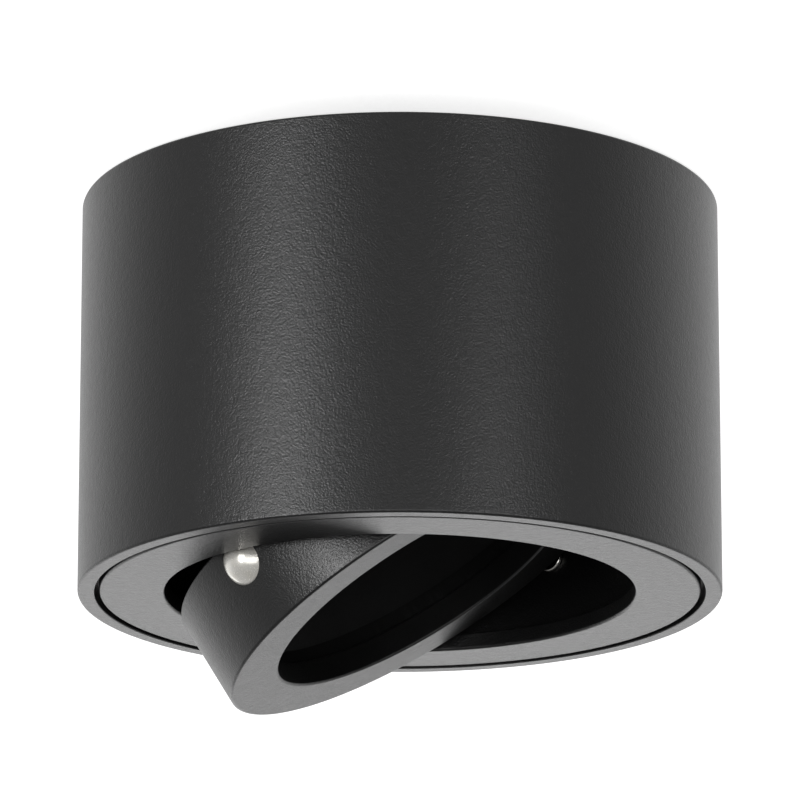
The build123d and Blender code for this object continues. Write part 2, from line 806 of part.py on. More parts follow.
chip_z = board_z - chip_t
cup_back_r = chip_w * 0.75
cup_r = lens_r - spot_margin
cup_front = shade_z + lens_t * 0.6 + slip
reflector_outline = [
    (cup_r, cup_front), (cup_r, cup_front + cup_wall), (cup_back_r + cup_wall, tube_end),
    (cup_back_r, tube_end), (lens_r - cup_in, cup_front),
]
with BuildPart() as reflector:
    add(turned(head_frame, reflector_outline))
save(reflector, "reflector")

with BuildPart() as led_chip:
    with BuildSketch(head_frame.offset(chip_z)):
        RectangleRounded(chip_w, chip_w, chip_round)
    extrude(amount=chip_t * 0.9)
    with BuildSketch(head_frame.offset(chip_z)):
        Circle(chip_w * 0.4)
    extrude(amount=-phosphor_h)
save(led_chip, "led_chip")

pad_z = board_z + board_t
sink_z = pad_z + pad_t
with BuildPart() as led_board:
    with BuildSketch(head_frame.offset(board_z)):
        Circle(tube_r - spot_margin)
        with PolarLocations(sink_screw_r, sink_screw_count, start_angle=sink_screw_angles[0]):
            Circle(notch_r, mode=Mode.SUBTRACT)
    extrude(amount=board_t)
save(led_board, "led_board")

with BuildPart() as thermal_pad:
    with BuildSketch(head_frame.offset(pad_z)):
        Circle(sink_screw_r - notch_r - pad_inset)
    extrude(amount=pad_t)
save(thermal_pad, "thermal_pad")

# ---- Heat sink ----
fin_z = sink_z + sink_base_t
core_r = core_d / 2
with BuildPart() as heat_sink:
    with BuildSketch(head_frame.offset(sink_z)):
        Circle(sink_r)
    extrude(amount=sink_base_t)
    with BuildSketch(head_frame.offset(fin_z)):
        Circle(core_r)
        with PolarLocations((core_r + sink_r) / 2 - fin_root, fin_count):
            Rectangle(sink_r - core_r, fin_t)
    extrude(amount=sink_top - fin_z)
    with BuildSketch(head_frame.offset(sink_z)):
        with PolarLocations(sink_screw_r, sink_screw_count, start_angle=sink_screw_angles[0]):
            Circle(sink_hole_r)
    extrude(amount=sink_base_t, mode=Mode.SUBTRACT)
    with BuildSketch(head_frame.offset(sink_top)):
        Circle(m3_r + slip)
    extrude(amount=-strap_hole_depth, mode=Mode.SUBTRACT)
save(heat_sink, "heat_sink")

with BuildPart() as heat_sink_screws:
    for angle in sink_screw_angles:
        turn = radians(angle)
        out = head_x * cos(turn) + head_frame.y_dir * sin(turn)
        origin = pivot + out * sink_screw_r + head_up * fin_z
        seat = Plane(origin=origin, x_dir=out, z_dir=head_up)
        add(pan_screw(seat, fin_z - board_z + sink_screw_l, pilot_r, sink_head_r, sink_head_h))
save(heat_sink_screws, "heat_sink_screws")
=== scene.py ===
import json
import math

import bmesh
import bpy
from bpy.props import FloatProperty, FloatVectorProperty, IntProperty, PointerProperty
from mathutils import Matrix, Vector

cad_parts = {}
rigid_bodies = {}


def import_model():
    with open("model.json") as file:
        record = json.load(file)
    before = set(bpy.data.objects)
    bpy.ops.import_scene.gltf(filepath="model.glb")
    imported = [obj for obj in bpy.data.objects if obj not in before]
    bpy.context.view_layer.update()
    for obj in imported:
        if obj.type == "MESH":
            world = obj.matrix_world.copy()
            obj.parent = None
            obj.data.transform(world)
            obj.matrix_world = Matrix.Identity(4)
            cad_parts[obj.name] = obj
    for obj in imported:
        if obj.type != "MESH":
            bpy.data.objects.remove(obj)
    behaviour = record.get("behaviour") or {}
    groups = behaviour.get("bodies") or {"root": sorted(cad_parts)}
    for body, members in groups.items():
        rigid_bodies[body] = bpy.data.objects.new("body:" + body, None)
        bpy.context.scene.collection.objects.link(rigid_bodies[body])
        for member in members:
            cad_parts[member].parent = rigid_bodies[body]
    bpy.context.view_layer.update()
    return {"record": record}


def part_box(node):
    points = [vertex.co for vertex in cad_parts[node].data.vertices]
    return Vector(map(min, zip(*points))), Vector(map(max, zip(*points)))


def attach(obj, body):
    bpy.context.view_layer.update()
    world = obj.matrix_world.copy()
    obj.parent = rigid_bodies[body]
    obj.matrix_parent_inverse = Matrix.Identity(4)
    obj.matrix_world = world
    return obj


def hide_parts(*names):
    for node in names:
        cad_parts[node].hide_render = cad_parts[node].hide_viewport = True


bl_info = {
    "name": "Ceiling Spotlight Dresser",
    "version": (1, 0, 0),
    "blender": (4, 5, 0),
    "location": "3D View > Sidebar > Spotlight",
    "description": "Dresses the packed ceiling spotlight: drum, trim ring, tilting head and light engine",
    "category": "Object",
}

for left_over in list(bpy.data.objects):
    bpy.data.objects.remove(left_over)
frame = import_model()

MM = 0.001
DRUM_LOW, DRUM_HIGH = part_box("drum_shell")
RIM = DRUM_LOW.z
Z_AXIS = Vector((0, 0, 1))
UPRIGHT = Matrix.Identity(4)
SHARP = math.radians(30)

# distances at which points count as one, before and after a piece is carved
TOUCH = 1e-7
CARVED_TOUCH = 2e-7
# how far a cutter reaches past what it cuts
OVER = 1 * MM

# fits that several pieces share
PLAY = 0.05 * MM
SEAT_DEPTH = 0.15 * MM
SEAT_PLAY = 0.2 * MM
CLIP_PAD = 0.4 * MM
YOKE_PAD = 0.45 * MM
WASHER_SEAT_DEPTH = 0.3 * MM
# the swivel stops on the drum and on the collar are level with each other
STOP_DROP = 5.5 * MM
STOP_HEIGHT = 3 * MM
DRUM_STOP_RADIUS = 41.15 * MM
# where the drum's lugs start and how far in from a lug's tip its screw sits
FIRST_LUG = math.radians(30)
LUG_SCREW = 3.4 * MM
# the tilt axis runs along Y
PIVOT_TURNS = (math.pi / 2, -math.pi / 2)
# rings on the head's wall keep the shading even around the carved seats
HEAD_RING_PITCH = 0.8 * MM
ENGINE_SCREWS = 3
# the light board and the pad between the cone and the heat sink
BOARD_STACK = 1.9 * MM

# name, place, width and height in metres, and the setting that holds the power
SOFT_BOXES = (
    ("soft_box_left", (-0.505, -0.745, -0.085), 0.22, 0.48, "key"),
    ("soft_box_right", (0.57, -0.70, -0.05), 0.10, 0.30, "side"),
    ("soft_box_low", (0.09, -0.955, -0.33), 0.9, 0.4, "low"),
    ("soft_box_back", (-0.45, 1.6, -0.55), 1.6, 0.8, "back"),
)
LIT_POINT = Vector((0, 0, -0.03))
SENSOR_WIDTH = 36
CLIP_START, CLIP_END = 0.01, 20
# the room brightens from the camera's side to the backdrop, and from straight below to level
ROOM_DEPTH = (-0.2, 0.8)
ROOM_HEIGHT = (-0.75, 0.0)
CEILING_HALF_WIDTH = 3
CEILING_GAP = 0.05 * MM
CEILING_GREY, CEILING_CLOUD = 0.5, 0.01
# the ceiling's painted soft shadow before the drum, made by dimming its glow with ambient occlusion: its
# reach, its span of openness and of glow
PAINTED_SHADOW_REACH = 22 * MM
PAINTED_SHADOW_OPEN = (0.5, 0.68)
PAINTED_SHADOW_GLOW = (0.66, 0.98)


# ---------------------------------------------------------------- sizes and finishes
def length(name, default, text):
    return FloatProperty(name=name, description=text, default=default, min=0, unit="LENGTH", precision=5)


def angle(name, degrees, text):
    return FloatProperty(name=name, description=text, default=math.radians(degrees), subtype="ANGLE")


def share(name, default, text):
    return FloatProperty(name=name, description=text, default=default, min=0, max=1, subtype="FACTOR")


def power(name, default, text):
    return FloatProperty(name=name, description=text, default=default, min=0, unit="POWER")


def amount(name, default, least, text):
    return IntProperty(name=name, description=text, default=default, min=least)


def vector(name, subtype, default, text):
    return FloatVectorProperty(name=name, description=text, default=default, size=3, subtype=subtype)


def colour(name, default, text):
    return FloatVectorProperty(
        name=name, description=text, default=default, size=3, min=0, max=1, subtype="COLOR")


class SpotDrumSizes(bpy.types.PropertyGroup):
    width: length("Width", DRUM_HIGH.x - DRUM_LOW.x, "Outer diameter of the drum")
    height: length("Height", -RIM, "Height of the drum below the ceiling")
    wall: length("Wall", 2.5 * MM, "Thickness of the drum's wall")
    edge: length("Edge", 0.4 * MM, "Radius of every machined rim")
    rib_depth: length("Rib depth", 2.5 * MM, "How far the seat rib stands in from the wall")
    rib_height: length("Rib height", 2.4 * MM, "Height of the seat rib")
    lugs: amount("Lugs", 3, 2, "Screw lugs under the base plate")
    lug_reach: length("Lug reach", 7 * MM, "How far a lug stands in from the wall")
    lug_width: length("Lug width", 9 * MM, "Width of a lug")
    lug_height: length("Lug height", 4 * MM, "Height of a lug")
    plate: length("Base plate", 2 * MM, "Thickness of the base plate above the lugs")
    stop_width: length("Stop width", 3.97 * MM, "Width of the swivel stop inside the wall")


class SpotTrimSizes(bpy.types.PropertyGroup):
    gap: length("Groove", 0.73 * MM, "Open groove between the drum and the trim plate")
    recess: length("Recess", 0.15 * MM, "How far the trim's face stands back from the rim")
    plate: length("Plate", 2.5 * MM, "Thickness of the trim plate")
    opening: length("Opening", 70.1 * MM, "Diameter of the opening that the head swings in")
    set_back: length("Set back", 2.45 * MM, "How far the collar stands back from the opening")
    collar_wall: length("Collar wall", 1.5 * MM, "Thickness of the collar")
    collar_height: length("Collar height", 17.5 * MM, "Height of the collar above the plate")
    lip: length("Stop lip", 1 * MM, "Height of the lip that stops the head")
    lip_reach: length("Stop lip radius", 35.95 * MM, "Inner radius of the lip that stops the head")
    clips: amount("Clips", 3, 2, "Snap clips round the collar")
    clip_first: angle("First clip", 58, "Turn of the first clip from +X")
    clip_width: length("Clip width", 9 * MM, "Width of a snap clip")
    clip_rise: length("Clip rivet rise", 13.6 * MM, "Height of a clip's rivet above the rim")
    stop_width: length("Stop width", 2.63 * MM, "Width of the swivel stop outside the collar")


class SpotHeadSizes(bpy.types.PropertyGroup):
    tilt: angle("Tilt", 31, "Lean of the beam from straight down")
    pivot_rise: length("Pivot rise", 6.6 * MM, "Height of the tilt axis above the rim")
    gap: length("Gap", 2.05 * MM, "Gap between the head and the opening")
    height: length("Height", 15 * MM, "Height of the head ring")
    lip: length("Lip opening", 49.6 * MM, "Diameter of the opening in the head's face")
    lip_height: length("Lip height", 4 * MM, "Thickness of the head's face")
    skirt: length("Skirt", 2.7 * MM, "Wall of the head behind its face")
    yoke: angle("Yoke", 49.5, "Turn of the inner yoke from the tilt direction")
    rivet_rise: length("Rivet rise", 10.9 * MM, "Height of the yoke rivets above the face")


class SpotEngineSizes(bpy.types.PropertyGroup):
    shade: length("Shade depth", 17.5 * MM, "Depth of the lens behind the face")
    lens: length("Lens", 36 * MM, "Diameter of the lens")
    steps: amount("Steps", 6, 2, "Anti glare steps in the cone")
    board: length("Board depth", 22 * MM, "Depth of the light board behind the face")
    sink: length("Sink width", 47 * MM, "Diameter of the heat sink")
    sink_depth: length("Sink depth", 35.5 * MM, "Depth of the heat sink's top behind the face")
    base: length("Sink base", 3.5 * MM, "Thickness of the heat sink's base")
    fins: amount("Fins", 18, 6, "Radial fins of the heat sink")
    fin: length("Fin", 1.3 * MM, "Thickness of a fin")
    core: length("Core", 15 * MM, "Diameter of the heat sink's core")


class SpotFastenerSizes(bpy.types.PropertyGroup):
    dome: length("Dome radius", 3.4 * MM, "Radius of the dome of a yoke rivet")
    dome_height: length("Dome height", 1.85 * MM, "Height of the dome of a yoke rivet")
    flat: length("Flat head radius", 2.25 * MM, "Radius of the flat head of a clip rivet")
    flat_height: length("Flat head height", 0.9 * MM, "Height of the flat head of a clip rivet")
    flat_round: length("Flat head round", 0.45 * MM, "Round along the rim of a clip rivet's head")
    rivet: length("Rivet radius", 1.6 * MM, "Radius of a rivet's shank")
    tail: length("Tail radius", 2.6 * MM, "Radius of a rivet's set tail")
    tail_height: length("Tail height", 0.9 * MM, "Height of a rivet's set tail")
    pivot_boss: length("Pivot boss", 4.1 * MM, "Radius of the bosses on the tilt axis")
    screw_hole: length("Screw hole", 1.7 * MM, "Radius of a clearance hole")


class SpotFinish(bpy.types.PropertyGroup):
    coat: colour("Coat", (0.0045, 0.0045, 0.0047), "Colour of the black powder coat")
    coat_gloss: share("Coat roughness", 0.33, "Roughness of the powder coat")
    coat_grain: length("Coat grain", 0.30 * MM, "Size of the fine grain of the powder coat")
    coat_relief: length("Coat relief", 0.066 * MM, "Height of the fine grain of the powder coat")


class SpotStudio(bpy.types.PropertyGroup):
    key: power("Key light", 3.9, "Power of the soft box at the left of the camera")
    side: power("Side light", 1.0, "Power of the narrow soft box at the right of the camera")
    back: power("Back light", 3.8, "Power of the wide soft box below and behind the lamp")
    low: power("Low light", 1.9, "Power of the wide soft box under the camera")
    near: share("Near room", 0.45, "Light of the room on the camera's side")
    far: share("Far room", 1.0, "Light of the backdrop")
    under: share("Floor", 0.42, "Light that comes straight up from below, as a share of the rest")
    lens: FloatProperty(
        name="Lens", description="Focal length of the camera", default=300.72, min=1, unit="CAMERA")
    camera: vector("Camera", "TRANSLATION", (0.10513, -0.95849, -0.30756), "Place of the camera")
    aim: vector("Aim", "DIRECTION", (-0.10476, 0.95515, 0.27696), "Direction in which the camera looks")


SETTINGS = {
    "spot_drum": SpotDrumSizes,
    "spot_trim": SpotTrimSizes,
    "spot_head": SpotHeadSizes,
    "spot_engine": SpotEngineSizes,
    "spot_fasteners": SpotFastenerSizes,
    "spot_finish": SpotFinish,
    "spot_studio": SpotStudio,
}


# ---------------------------------------------------------------- shaping
def round_corners(outline, steps=6):
    """A closed outline of (radius, height, round) with an arc at every corner that has a round."""
    points, count = [], len(outline)
    for i, (r, z, size) in enumerate(outline):
        here = Vector((r, z))
        if size <= 0:
            points.append(here)
            continue
        back = (Vector(outline[i - 1][:2]) - here).normalized()
        on = (Vector(outline[(i + 1) % count][:2]) - here).normalized()
        half = back.angle(on) / 2
        start, end = here + back * (size / math.tan(half)), here + on * (size / math.tan(half))
        middle = here + (back + on).normalized() * (size / math.sin(half))
        first, last = start - middle, end - middle
        sweep = first.angle(last)
        # a ring beside the arc at either end keeps its shading off the long faces
        points.append(start + back * size * 0.1)
        for step in range(steps + 1):
            part = step / steps
            a, b = math.sin((1 - part) * sweep), math.sin(part * sweep)
            points.append(middle + (first * a + last * b) / math.sin(sweep))
        points.append(end + on * size * 0.1)
    return points


def make_object(name, bm):
    bmesh.ops.remove_doubles(bm, verts=bm.verts, dist=TOUCH)
    bmesh.ops.recalc_face_normals(bm, faces=bm.faces)
    mesh = bpy.data.meshes.new(name)
    bm.to_mesh(mesh)
    bm.free()
    mesh.shade_smooth()
    mesh.set_sharp_from_angle(angle=SHARP)
    piece = bpy.data.objects.new(name, mesh)
    bpy.context.scene.collection.objects.link(piece)
    return piece


def more_rings(points, pitch):
    """Rings along the long runs, so that a cut only touches the small faces around it."""
    dense = []
    for here, on in zip(points, points[1:] + points[:1]):
        here, on = Vector(here), Vector(on)
        count = max(1, round((on - here).length / pitch))
        dense += [here.lerp(on, i / count) for i in range(count)]
    return dense


def lathe(name, outline, place=UPRIGHT, turns=288, steps=6, pitch=math.inf):
    """A closed turned solid from an outline in radius and height about the place's Z axis."""
    bm = bmesh.new()
    angles = [i * math.tau / turns for i in range(turns)]
    rings = []
    for r, z in more_rings(round_corners(outline, steps), pitch):
        if r < TOUCH:
            pole = bm.verts.new(place @ Vector((0, 0, z)))
            rings.append([pole] * turns)
        else:
            ring = [Vector((r * math.cos(a), r * math.sin(a), z)) for a in angles]
            rings.append([bm.verts.new(place @ point) for point in ring])
    for near, far in zip(rings, rings[1:] + rings[:1]):
        for i in range(turns):
            j = (i + 1) % turns
            corners = list(dict.fromkeys((near[i], near[j], far[j], far[i])))
            if len(corners) > 2:
                bm.faces.new(corners)
    return make_object(name, bm)


def plain(*points):
    """An outline whose corners stay sharp."""
    return [(r, z, 0) for r, z in points]


def spoke(base, turn, radius, height):
    """A place on a ring about the base's Z axis, with its own Z outwards and its Y along the axis."""
    out = Vector((math.cos(turn), math.sin(turn), 0))
    side = Z_AXIS.cross(out)
    local = Matrix((side, Z_AXIS, out)).transposed().to_4x4()
    local.translation = out * radius + Z_AXIS * height
    return base @ local


def rod(name, place, radius, start, end):
    return lathe(name, plain((0, start), (radius, start), (radius, end), (0, end)), place, turns=64)


def block(name, place, low, high, edge=0.0):
    bm = bmesh.new()
    bmesh.ops.create_cube(bm, size=1)
    low, high = Vector(low), Vector(high)
    for v in bm.verts:
        v.co = Vector(low[k] + (v.co[k] + 0.5) * (high[k] - low[k]) for k in range(3))
    if edge:
        bmesh.ops.bevel(bm, geom=bm.edges[:], offset=edge, segments=2, affect="EDGES")
    bm.transform(place)
    return make_object(name, bm)


def joins(tools):
    return [("UNION", tool) for tool in tools]


def cuts(tools):
    return [("DIFFERENCE", tool) for tool in tools]


def carve(piece, tools):
    """Joins tools to the piece or cuts them from it, in order, and gives back one plain mesh."""
    for way, tool in tools:
        change = piece.modifiers.new(way.lower(), "BOOLEAN")
        change.operation, change.solver, change.object = way, "EXACT", tool
    finished = bpy.data.meshes.new_from_object(piece.evaluated_get(bpy.context.evaluated_depsgraph_get()))
    piece.modifiers.clear()
    for _, tool in tools:
        bpy.data.objects.remove(tool)
    bm = bmesh.new()
    bm.from_mesh(finished)
    bmesh.ops.remove_doubles(bm, verts=bm.verts, dist=CARVED_TOUCH)
    bmesh.ops.dissolve_degenerate(bm, edges=bm.edges, dist=TOUCH)
    bm.to_mesh(finished)
    bm.free()
    finished.shade_smooth()
    finished.set_sharp_from_angle(angle=SHARP)
    finished.name = piece.name
    piece.data = finished
    return piece


def head_place(s):
    """The head's own frame: its origin on the tilt axis, Z along the beam and up."""
    place = Matrix.Rotation(-s.spot_head.tilt, 4, "Y")
    place.translation = Vector((0, 0, RIM + s.spot_head.pivot_rise))
    return place


def clip_places(t, radius):
    """The places of the clip rivets at a radius of the collar, each looking outwards."""
    turns = [t.clip_first + i * math.tau / t.clips for i in range(t.clips)]
    return [spoke(UPRIGHT, turn, radius, RIM + t.clip_rise) for turn in turns]


def yoke_places(s, radius):
    """The places of the two yoke rivets at a radius of the head, each looking outwards."""
    h = s.spot_head
    height = h.rivet_rise - h.pivot_rise
    return [spoke(head_place(s), h.yoke + turn, radius, height) for turn in (0, math.pi)]


def dress(piece, body, slot, *nodes):
    """Gives a finished piece its finish, its body and the nodes that it stands for."""
    piece.data.materials.clear()
    piece.data.materials.append(bpy.data.materials[slot])
    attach(piece, body)
    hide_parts(*nodes)
    return piece


def add_node(group, kind, links=(), **settings):
    """A node with its settings; each input is either joined to a socket or given a value."""
    made = group.nodes.new(kind)
    for key, value in settings.items():
        setattr(made, key, value)
    for key, source in dict(links).items():
        if isinstance(source, bpy.types.NodeSocket):
            group.links.new(source, made.inputs[key])
        else:
            made.inputs[key].default_value = source
    return made


# ---------------------------------------------------------------- repeats
class Tree:
    """A Geometry Nodes tree with named inputs that ends in Realize Instances and Set Material."""

    def __init__(self, name, inputs):
        self.group = bpy.data.node_groups.new(name, "GeometryNodeTree")
        face = self.group.interface
        face.new_socket("Geometry", in_out="INPUT", socket_type="NodeSocketGeometry")
        for label, kind, default in inputs:
            socket = face.new_socket(label, in_out="INPUT", socket_type="NodeSocket" + kind)
            if default is not None:
                socket.default_value = default
        face.new_socket("Finish", in_out="INPUT", socket_type="NodeSocketMaterial")
        face.new_socket("Geometry", in_out="OUTPUT", socket_type="NodeSocketGeometry")
        self.start = self.group.nodes.new("NodeGroupInput")
        self.inputs = self.start.outputs

    def node(self, kind, links=(), **settings):
        return add_node(self.group, kind, links, **settings)

    def math(self, way, a, b):
        return self.node("ShaderNodeMath", {0: a, 1: b}, operation=way).outputs[0]

    def vector(self, x=0.0, y=0.0, z=0.0):
        return self.node("ShaderNodeCombineXYZ", {0: x, 1: y, 2: z}).outputs[0]

    def cylinder(self, sides, radius, depth):
        links = {"Vertices": sides, "Radius": radius, "Depth": depth}
        return self.node("GeometryNodeMeshCylinder", links).outputs[0]

    def moved(self, geometry, z, x=0.0):
        links = {"Geometry": geometry, "Translation": self.vector(x, 0.0, z)}
        return self.node("GeometryNodeTransform", links).outputs[0]

    def instances(self, points, instance, rotation):
        links = {"Points": points, "Instance": instance, "Rotation": rotation}
        return self.node("GeometryNodeInstanceOnPoints", links).outputs[0]

    def close(self, geometry):
        real = self.node("GeometryNodeRealizeInstances", {0: geometry}).outputs[0]
        painted = self.node("GeometryNodeSetMaterial", {0: real, "Material": self.inputs["Finish"]})
        end = self.group.nodes.new("NodeGroupOutput")
        self.group.links.new(painted.outputs[0], end.inputs[0])


def grow(tree, name, carrier, values, place=UPRIGHT):
    """Runs a tree on a carrier mesh and gives back the result as one plain mesh object."""
    grown = bpy.data.objects.new(name, carrier)
    bpy.context.scene.collection.objects.link(grown)
    modifier = grown.modifiers.new(name, "NODES")
    modifier.node_group = tree.group
    for item in tree.group.interface.items_tree:
        if item.in_out == "INPUT" and item.name in values:
            modifier[item.identifier] = values[item.name]
    result = bpy.data.meshes.new_from_object(grown.evaluated_get(bpy.context.evaluated_depsgraph_get()))
    grown.modifiers.clear()
    if not result.polygons:
        raise RuntimeError(f"{name}: the node tree made no faces")
    result.transform(place)
    result.shade_smooth()
    result.set_sharp_from_angle(angle=SHARP)
    result.name = name
    grown.data = result
    return grown


def seats_mesh(name, places):
    """A carrier with one vertex at each seat and the direction in which its fastener stands."""
    mesh = bpy.data.meshes.new(name)
    mesh.from_pydata([p.translation for p in places], [], [])
    out = mesh.attributes.new("stands", "FLOAT_VECTOR", "POINT")
    for i, p in enumerate(places):
        out.data[i].vector = p.to_3x3() @ Z_AXIS
    return mesh


def fastener_tree():
    """Sets one fastener on every seat, each turned about its own axis as a driver leaves it."""
    t = Tree("set_on_seats", [("Fastener", "Object", None), ("Seed", "Int", 3)])
    made = t.node("GeometryNodeObjectInfo", {"Object": t.inputs["Fastener"]})
    way = t.node("GeometryNodeInputNamedAttribute", {"Name": "stands"}, data_type="FLOAT_VECTOR")
    stand = t.node("FunctionNodeAlignRotationToVector", {"Vector": way.outputs[0]}, axis="Z")
    random = {2: 0.0, 3: math.tau, "Seed": t.inputs["Seed"]}
    turn = t.node("FunctionNodeRandomValue", random, data_type="FLOAT")
    spun = t.node("FunctionNodeAxisAngleToRotation", {"Axis": (0, 0, 1), "Angle": turn.outputs[1]})
    both = {0: stand.outputs[0], 1: spun.outputs[0]}
    rotation = t.node("FunctionNodeRotateRotation", both, rotation_space="LOCAL")
    t.close(t.instances(t.inputs["Geometry"], made.outputs["Geometry"], rotation.outputs[0]))
    return t


def set_fasteners(tree, name, pattern, places, slot, seed):
    """Sets the pattern on every place with a tree from fastener_tree, and removes the pattern."""
    values = {"Fastener": pattern, "Seed": seed, "Finish": bpy.data.materials[slot]}
    piece = grow(tree, name, seats_mesh(name + "_seats", places), values)
    bpy.data.objects.remove(pattern)
    return piece


def sink_tree():
    """A round base, a core and radial fins about +Z."""
    t = Tree("radial_heat_sink", [
        ("Fins", "Int", 18),
        ("Fin thickness", "Float", 1.3 * MM),
        ("Radius", "Float", 23.5 * MM),
        ("Core radius", "Float", 7.5 * MM),
        ("Base height", "Float", 3.5 * MM),
        ("Fin height", "Float", 8 * MM),
    ])
    i = t.inputs
    into_core = -0.5 * MM
    reach = t.math("SUBTRACT", i["Radius"], i["Core radius"])
    half_way = t.math("MULTIPLY", t.math("ADD", i["Radius"], i["Core radius"]), 0.5)
    base_middle = t.math("MULTIPLY", i["Base height"], 0.5)
    fin_middle = t.math("ADD", i["Base height"], t.math("MULTIPLY", i["Fin height"], 0.5))
    ring = t.node("GeometryNodeMeshCircle", {"Vertices": i["Fins"], "Radius": half_way})
    fin = t.node("GeometryNodeMeshCube", {"Size": t.vector(reach, i["Fin thickness"], i["Fin height"])})
    at = t.node("GeometryNodeInputPosition")
    stand = t.node("FunctionNodeAlignRotationToVector", {"Vector": at.outputs[0]}, axis="X", pivot_axis="Z")
    raised = t.moved(fin.outputs[0], fin_middle, into_core)
    fins = t.instances(ring.outputs[0], raised, stand.outputs[0])
    base = t.moved(t.cylinder(192, i["Radius"], i["Base height"]), base_middle)
    core = t.moved(t.cylinder(96, i["Core radius"], i["Fin height"]), fin_middle)
    join = t.node("GeometryNodeJoinGeometry")
    for part in (core, base, fins):
        t.group.links.new(part, join.inputs[0])
    t.close(join.outputs[0])
    return t


# ---------------------------------------------------------------- finishes
class Paint:
    """A procedural material on Object coordinates, one for each finish in the record."""

    def __init__(self, slot, base, metallic, roughness, **sockets):
        self.material = bpy.data.materials.get(slot) or bpy.data.materials.new(slot)
        self.material.use_nodes = True
        self.nodes, self.links = self.material.node_tree.nodes, self.material.node_tree.links
        self.nodes.clear()
        self.shader = self.nodes.new("ShaderNodeBsdfPrincipled")
        self.end = self.nodes.new("ShaderNodeOutputMaterial")
        self.links.new(self.shader.outputs[0], self.end.inputs["Surface"])
        self.shader.inputs["Base Color"].default_value = (*base, 1)
        self.shader.inputs["Metallic"].default_value = metallic
        self.shader.inputs["Roughness"].default_value = roughness
        for key, value in sockets.items():
            self.shader.inputs[key.replace("_", " ")].default_value = value
        self.at = self.nodes.new("ShaderNodeTexCoord").outputs["Object"]

    def node(self, kind, links=(), **settings):
        return add_node(self.material.node_tree, kind, links, **settings)

    def math(self, way, a, b):
        return self.node("ShaderNodeMath", {0: a, 1: b}, operation=way).outputs[0]

    def stretched(self, scale):
        return self.node("ShaderNodeMapping", {"Vector": self.at, "Scale": scale}).outputs[0]

    def noise(self, size, detail=2.0, at=None, roughness=0.5):
        links = {"Vector": at or self.at, "Scale": 1 / size, "Detail": detail, "Roughness": roughness}
        return self.node("ShaderNodeTexNoise", links).outputs["Fac"]

    def cells(self, size):
        links = {"Vector": self.at, "Scale": 1 / size}
        return self.node("ShaderNodeTexVoronoi", links, feature="F1").outputs["Distance"]

    def ramp(self, value, low, high, a=0.0, b=1.0):
        """Carries the span from a to b of a value over to the span from low to high."""
        links = {"Value": value, "From Min": a, "From Max": b, "To Min": low, "To Max": high}
        return self.node("ShaderNodeMapRange", links).outputs[0]

    def tint(self, value, dark, light, low=0.35, high=0.65):
        band = self.node("ShaderNodeValToRGB", {"Fac": value})
        ends = band.color_ramp.elements
        ends[0].position, ends[0].color = low, (*dark, 1)
        ends[1].position, ends[1].color = high, (*light, 1)
        self.links.new(band.outputs[0], self.shader.inputs["Base Color"])

    def rough(self, value, low, high, a=0.35, b=0.65):
        self.links.new(self.ramp(value, low, high, a, b), self.shader.inputs["Roughness"])

    def relief(self, *layers):
        """Bumps, each a height value and the depth in metres that its full range stands for."""
        normal = None
        for value, depth in layers:
            bump = self.node("ShaderNodeBump", {"Height": value, "Distance": depth, "Strength": 1.0})
            if normal:
                self.links.new(normal, bump.inputs["Normal"])
            normal = bump.outputs[0]
        self.links.new(normal, self.shader.inputs["Normal"])


def grey(level):
    return (level, level, level)


def powder_coat(finish):
    """Satin black whose fine pebbled grain breaks a highlight into sparkle."""
    coat = Vector(finish.coat)
    valley, crest = coat * 0.8, coat * 1.25
    uneven = 0.01
    p = Paint("black_coat", coat, 0, finish.coat_gloss, IOR=1.55)
    grain = p.noise(finish.coat_grain, 2.0, roughness=0.55)
    peel = p.noise(finish.coat_grain * 4, 1.0)
    p.tint(grain, valley, crest, 0.3, 0.72)
    p.rough(peel, finish.coat_gloss - uneven, finish.coat_gloss + uneven)
    p.relief((peel, finish.coat_relief * 0.5), (grain, finish.coat_relief))


def plated_metal(slot, dark, light, roughness, spangle, brush=None, specks=0.0, metal=1.0):
    """A metal with a slow change of tone, fine grain and, where asked, brush lines."""
    p = Paint(slot, light, metal, roughness)
    tone = p.noise(spangle, 3.0)
    p.tint(tone, dark, light)
    fine = p.noise(spangle / 12, 3.0, p.stretched(brush) if brush else None)
    p.rough(fine, roughness * 0.8, roughness * 1.25)
    p.relief((fine, 0.004 * MM), (p.cells(spangle / 5), specks))


def moulded_plastic(slot, dark, light, roughness, grain, depth, **sockets):
    """A moulded plastic: faint cloud in the colour and the fine grain of the tool."""
    p = Paint(slot, light, 0, roughness, **sockets)
    p.tint(p.noise(4 * MM, 3.0), dark, light)
    fine = p.noise(grain, 2.0)
    p.rough(fine, roughness * 0.9, roughness * 1.1)
    p.relief((fine, depth))


def frosted_glass(slot):
    p = Paint(slot, (0.88, 0.90, 0.90), 0, 0.35, Transmission_Weight=0.65, IOR=1.49)
    frost = p.noise(0.18 * MM, 2.0)
    p.rough(frost, 0.30, 0.42)
    p.relief((frost, 0.006 * MM))


